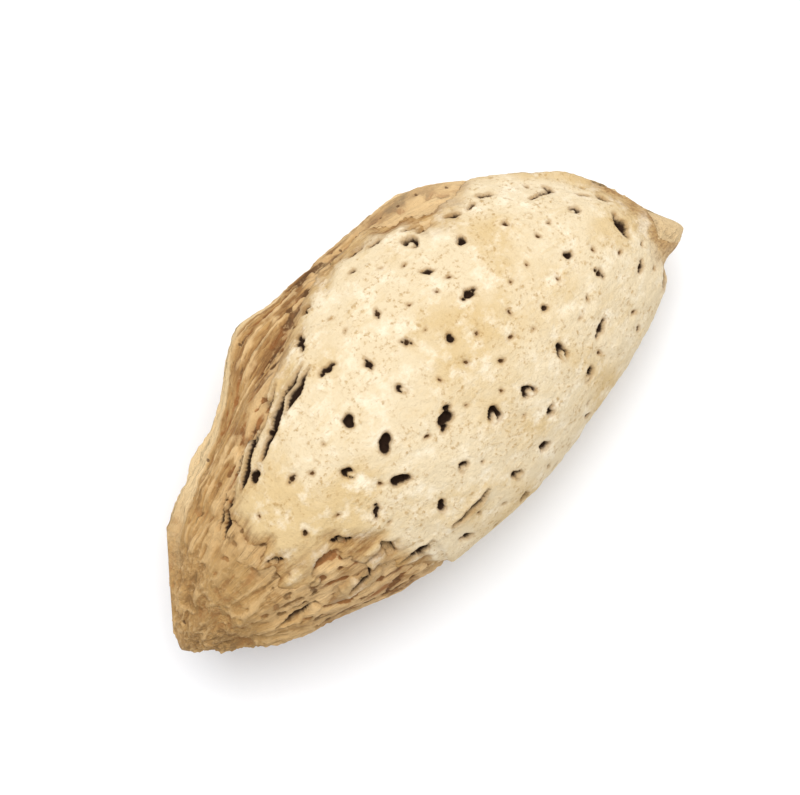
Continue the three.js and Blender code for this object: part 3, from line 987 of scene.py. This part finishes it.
# The skin's own relief, sunk where it has worn away, so that the shell shows, and then what crowds its
# rows and columns
SKIN_UNDER = 0.4
SKIN_WALL = (-0.07, 0.06)
SKIN_DOWN = 0.04
SKIN_BUMPS = [(0.08, 0.55, 0.55, 32), (0.05, 1.5, 1.5, 33), (0.035, 3.2, 3.2, 34), (0.02, 6, 6, 37)]
BY_BEAK = (13.0, 15.5)
BEAK_SHARE = 0.4
FEATHER_LENGTH = 1.7
LIFTS = [(1.6, 0.45, 0.45, 31)]
LIFTED_SHARE = 0.3
LIFTED_LIP = (0.16, 0.2, 0.25)
SLIT_LIP = (0.1, 0.12, 0.14)
FLAKE_TURN = (1, 2.75, 0.35)
FLAKE_FROM = (2.5, -1.0)
FLAKE_FACE = (0.0, 0.2)
FLAKE_STEP = (0.3, -3.3, -3.15)
FLAKE_DOWN = 0.14
PIT_WALL = (0.05, -0.13)
PITS_INSIDE = (-0.1, 0.2)
PIT_DISH = (0.05, 0, 0.25)
SKIN_SLIT_DEPTH = (0.6, 0.05, -0.1)
FEWEST_SKIN_ROWS = 0.2
SKIN_ROWS_STEM = (-12.6, -11.2)
SKIN_ROWS_BEAK = (16.2, 15.6)
FEWEST_SKIN_COLUMNS = 0.3
SKIN_COLUMNS_KEEL = (0, 0.25)
SKIN_COLUMNS_ABOVE = (0.9, 3.3, 2.9)


def skin_rows(x):
    """Rows lie far apart past the skin's two ends, where it is sunk."""
    return within((FEWEST_SKIN_ROWS, 1), ease(*SKIN_ROWS_STEM, x) * ease(*SKIN_ROWS_BEAK, x))


def skin_columns(turn):
    """Columns lie far apart on the keel, and closer on the upper face than on the lower."""
    off_keel = ease(*SKIN_COLUMNS_KEEL, np.abs(fold(turn)))
    return within((FEWEST_SKIN_COLUMNS, 1), off_keel) * (1 + ramp(turn, SKIN_COLUMNS_ABOVE))


skin_s, skin_turn = grid_of(skin_rows, skin_columns)
skin_egg = egg_point(skin_s, skin_turn)
skin_x = skin_egg[..., 0]
skin_edge = edge_field(skin_s, skin_turn)
skin_solid = solid_point(skin_s, skin_turn)
skin_slit = slit_field(skin_solid)
skin_pit, pit_depth = pit_field(skin_solid)
skin_feather = feather_field(skin_s, skin_turn)

by_beak = 1 - (1 - BEAK_SHARE) * ease(*BY_BEAK, skin_x)
feathered = 1 - skin_feather * (1 - ease(0, FEATHER_LENGTH, skin_edge))
skin_top = SKIN_THICKNESS * by_beak * feathered - SKIN_DOWN + rough(skin_egg, SKIN_BUMPS)
flake = hill(np.abs(fold(skin_turn)), FLAKE_TURN) * ease(*FLAKE_FACE, fold(skin_turn))
flake = flake * ease(*FLAKE_FROM, skin_x)
skin_top = skin_top + flake * (ramp(skin_x, FLAKE_STEP) - FLAKE_DOWN)
lifted = np.clip(rough(skin_egg, LIFTS) + LIFTED_SHARE, 0, 1) * (1 - skin_feather)
skin_top = skin_top + lifted * hill(skin_edge, LIFTED_LIP) + hill(skin_slit, SLIT_LIP)

skin_cover = (skin_top + SKIN_UNDER) * ease(*SKIN_WALL, skin_edge) - SKIN_UNDER
skin_cover = skin_cover - pit_depth * ease(*PIT_WALL, skin_pit) * ease(*PITS_INSIDE, skin_edge)
skin_cover = skin_cover - hill(np.maximum(skin_pit, 0), PIT_DISH)
skin_cover = skin_cover - ramp(skin_slit, SKIN_SLIT_DEPTH)
skin_points = nut_point(skin_s, skin_turn, skin_cover, 0, SCAR_PLACE - SKIN_UNDER)

# The skin's colours and masks, as the shell's
SKIN_CREAM = paint(226, 206, 170)
SKIN_YELLOW = paint(214, 186, 137)
SKIN_LIGHT = paint(241, 226, 198)
SKIN_SPECK = paint(176, 138, 84)
PIT_STAIN = paint(170, 130, 80)
PIT_BROWN = paint(120, 84, 46)
PIT_DARK = paint(50, 31, 16)
SKIN_DRAWN_OUT = 0.25
YELLOW_PATCHES = (0.46, 0.66)
LIGHT_PATCHES = (0.46, 0.74)
DARK_SPECKS = 0.75
YELLOW_THREADS = (0.52, 0.62, 0.35)
BROWNED_EDGE = (3.6, 1.9)
BROWNED_STREAKS = (0.36, 0.64)
EDGE_STAIN = (0.24, 0.08)
MOST_STAIN = 0.9
PIT_SURROUND = (0.2, 0.0, 0.5)
PIT_FLOOR = (0.03, -0.04)
PIT_SHADE_BY_DEPTH = (0.25, 0.45)
PIT_INSET = 0.045

skin_material, tree, shader, place = new_material("corky skin")
along_fibres = {"Place": mark(tree, "fibre place", "Vector"), "Drawn Out": SKIN_DRAWN_OUT}
streaks = group_in(tree, streaks_group, along_fibres)
grain = group_in(tree, grain_group, {"Place": place})
mottling = grain["Mottling"]
edge = mark(tree, "edge")
feather = mark(tree, "feather")

patches = noise_node(tree, place, scale=0.22, detail=3.0)
patches = plus(tree, patches, mark(tree, "yellowed"), amount=0.16)
colour = mixed(tree, between(tree, patches, *YELLOW_PATCHES), SKIN_CREAM, SKIN_YELLOW)
colour = mixed(tree, between(tree, mottling, *LIGHT_PATCHES), colour, SKIN_LIGHT)
colour = mixed(tree, sum_of(tree, "MULTIPLY", grain["Specks"], DARK_SPECKS), colour, SKIN_SPECK)
colour = mixed(tree, between(tree, streaks["Streaks"], *YELLOW_THREADS), colour, SKIN_YELLOW)
browned = plus(tree, edge, streaks["Streaks"], amount=2.6)
browned = plus(tree, browned, mottling, amount=1.2)
tan = mixed(tree, between(tree, streaks["Streaks"], *BROWNED_STREAKS), SHELL_BROWN, SHELL_STRAW)
colour = mixed(tree, between(tree, browned, *BROWNED_EDGE, feather), colour, tan)
not_feathered = sum_of(tree, "SUBTRACT", MOST_STAIN, feather)
stain = between(tree, plus(tree, edge, mottling, amount=0.25), *EDGE_STAIN, not_feathered)
colour = mixed(tree, stain, colour, PIT_STAIN)
hole = sum_of(tree, "MINIMUM", mark(tree, "pit"), mark(tree, "slit"))
hole = plus(tree, sum_of(tree, "SUBTRACT", hole, PIT_INSET), grain["Height"], amount=0.05)
colour = mixed(tree, between(tree, hole, *PIT_SURROUND), colour, PIT_STAIN)
# The pit floors: their own dark brown with painted shade over it, darker the deeper the pit; the splits
# take the darkest, as painted shade.
inside = mixed(tree, between(tree, mark(tree, "depth"), *PIT_SHADE_BY_DEPTH), PIT_BROWN, PIT_DARK)
colour = mixed(tree, between(tree, hole, *PIT_FLOOR), colour, inside)

tree.links.new(colour, shader.inputs["Base Color"])
shader.inputs["Roughness"].default_value = 0.88
shader.inputs["Specular IOR Level"].default_value = 0.25
height = plus(tree, grain["Height"], streaks["Height"], amount=0.25)
bump = add(tree, "Bump", {"Height": height, "Strength": 0.8, "Distance": 0.1 * MM}).outputs["Normal"]
tree.links.new(bump, shader.inputs["Normal"])

# What the skin's mesh tells its material
# Splits are counted as deep pits, so that they take the darkest painted shade.
SLIT_AS_DEEP = 0.5
YELLOW_STEM = (-3, -9)
YELLOW_EDGE = (1.8, 0.4)

skin_marks = {
    "fibre place": fibre_place(skin_s, skin_turn),
    "edge": np.clip(skin_edge, -EDGE_LIMIT, EDGE_LIMIT),
    "pit": skin_pit,
    "slit": skin_slit,
    "depth": np.where(skin_slit < skin_pit, SLIT_AS_DEEP, pit_depth),
    "feather": skin_feather,
    "yellowed": np.maximum(ease(*YELLOW_STEM, skin_x), ease(*YELLOW_EDGE, skin_edge)),
}
make_piece("skin", on_the_floor(skin_points), skin_marks, skin_material)


# The table: a plain white sheet under the nut, lit from all round and by one broad lamp above it, with
# the camera looking straight down. Metres.
FLOOR_SIZE = 1.2
SHEET_WHITE = (0.93, 0.93, 0.935, 1)
SKY_COLOUR = (0.95, 0.97, 1.0, 1)
SKY_STRENGTH = 0.72
CAMERA_HEIGHT = 0.23
CAMERA_LENS = 200
CAMERA_NEAR = 0.01
IMAGE_TURN = math.radians(-40)
LAMP_SIZE = 0.35
LAMP_ENERGY = 1.53
LAMP_PLACE = (0.06, 0.1, 0.42)

half = FLOOR_SIZE / 2
floor_corners = [(-half, -half, 0), (half, -half, 0), (half, half, 0), (-half, half, 0)]
floor_mesh = bpy.data.meshes.new("floor")
floor_mesh.from_pydata(floor_corners, [], [(0, 1, 2, 3)])
floor = bpy.data.objects.new("floor", floor_mesh)
bpy.context.scene.collection.objects.link(floor)
floor_material, _, shader, _ = new_material("white sheet")
shader.inputs["Base Color"].default_value = SHEET_WHITE
shader.inputs["Roughness"].default_value = 0.9
shader.inputs["Specular IOR Level"].default_value = 0.1
floor_mesh.materials.append(floor_material)

world = bpy.data.worlds.new("studio")
world.use_nodes = True
sky = world.node_tree.nodes["Background"]
sky.inputs["Color"].default_value = SKY_COLOUR
sky.inputs["Strength"].default_value = SKY_STRENGTH
bpy.context.scene.world = world

camera_data = bpy.data.cameras.new("camera")
camera_data.lens = CAMERA_LENS
camera_data.clip_start = CAMERA_NEAR
camera = bpy.data.objects.new("camera", camera_data)
bpy.context.scene.collection.objects.link(camera)
camera.location = (0, 0, CAMERA_HEIGHT)
camera.rotation_euler = (0, 0, IMAGE_TURN)
bpy.context.scene.camera = camera

lamp_data = bpy.data.lights.new("broad lamp", "AREA")
lamp_data.shape = "DISK"
lamp_data.size = LAMP_SIZE
lamp_data.energy = LAMP_ENERGY
lamp = bpy.data.objects.new("broad lamp", lamp_data)
bpy.context.scene.collection.objects.link(lamp)
lamp.location = LAMP_PLACE
lamp_x, lamp_y, lamp_z = LAMP_PLACE
lamp_lean = math.atan2(math.hypot(lamp_x, lamp_y), lamp_z)
lamp.rotation_euler = (lamp_lean, 0, math.atan2(lamp_y, lamp_x) + math.pi / 2)
bpy.context.scene.view_settings.view_transform = "Standard"
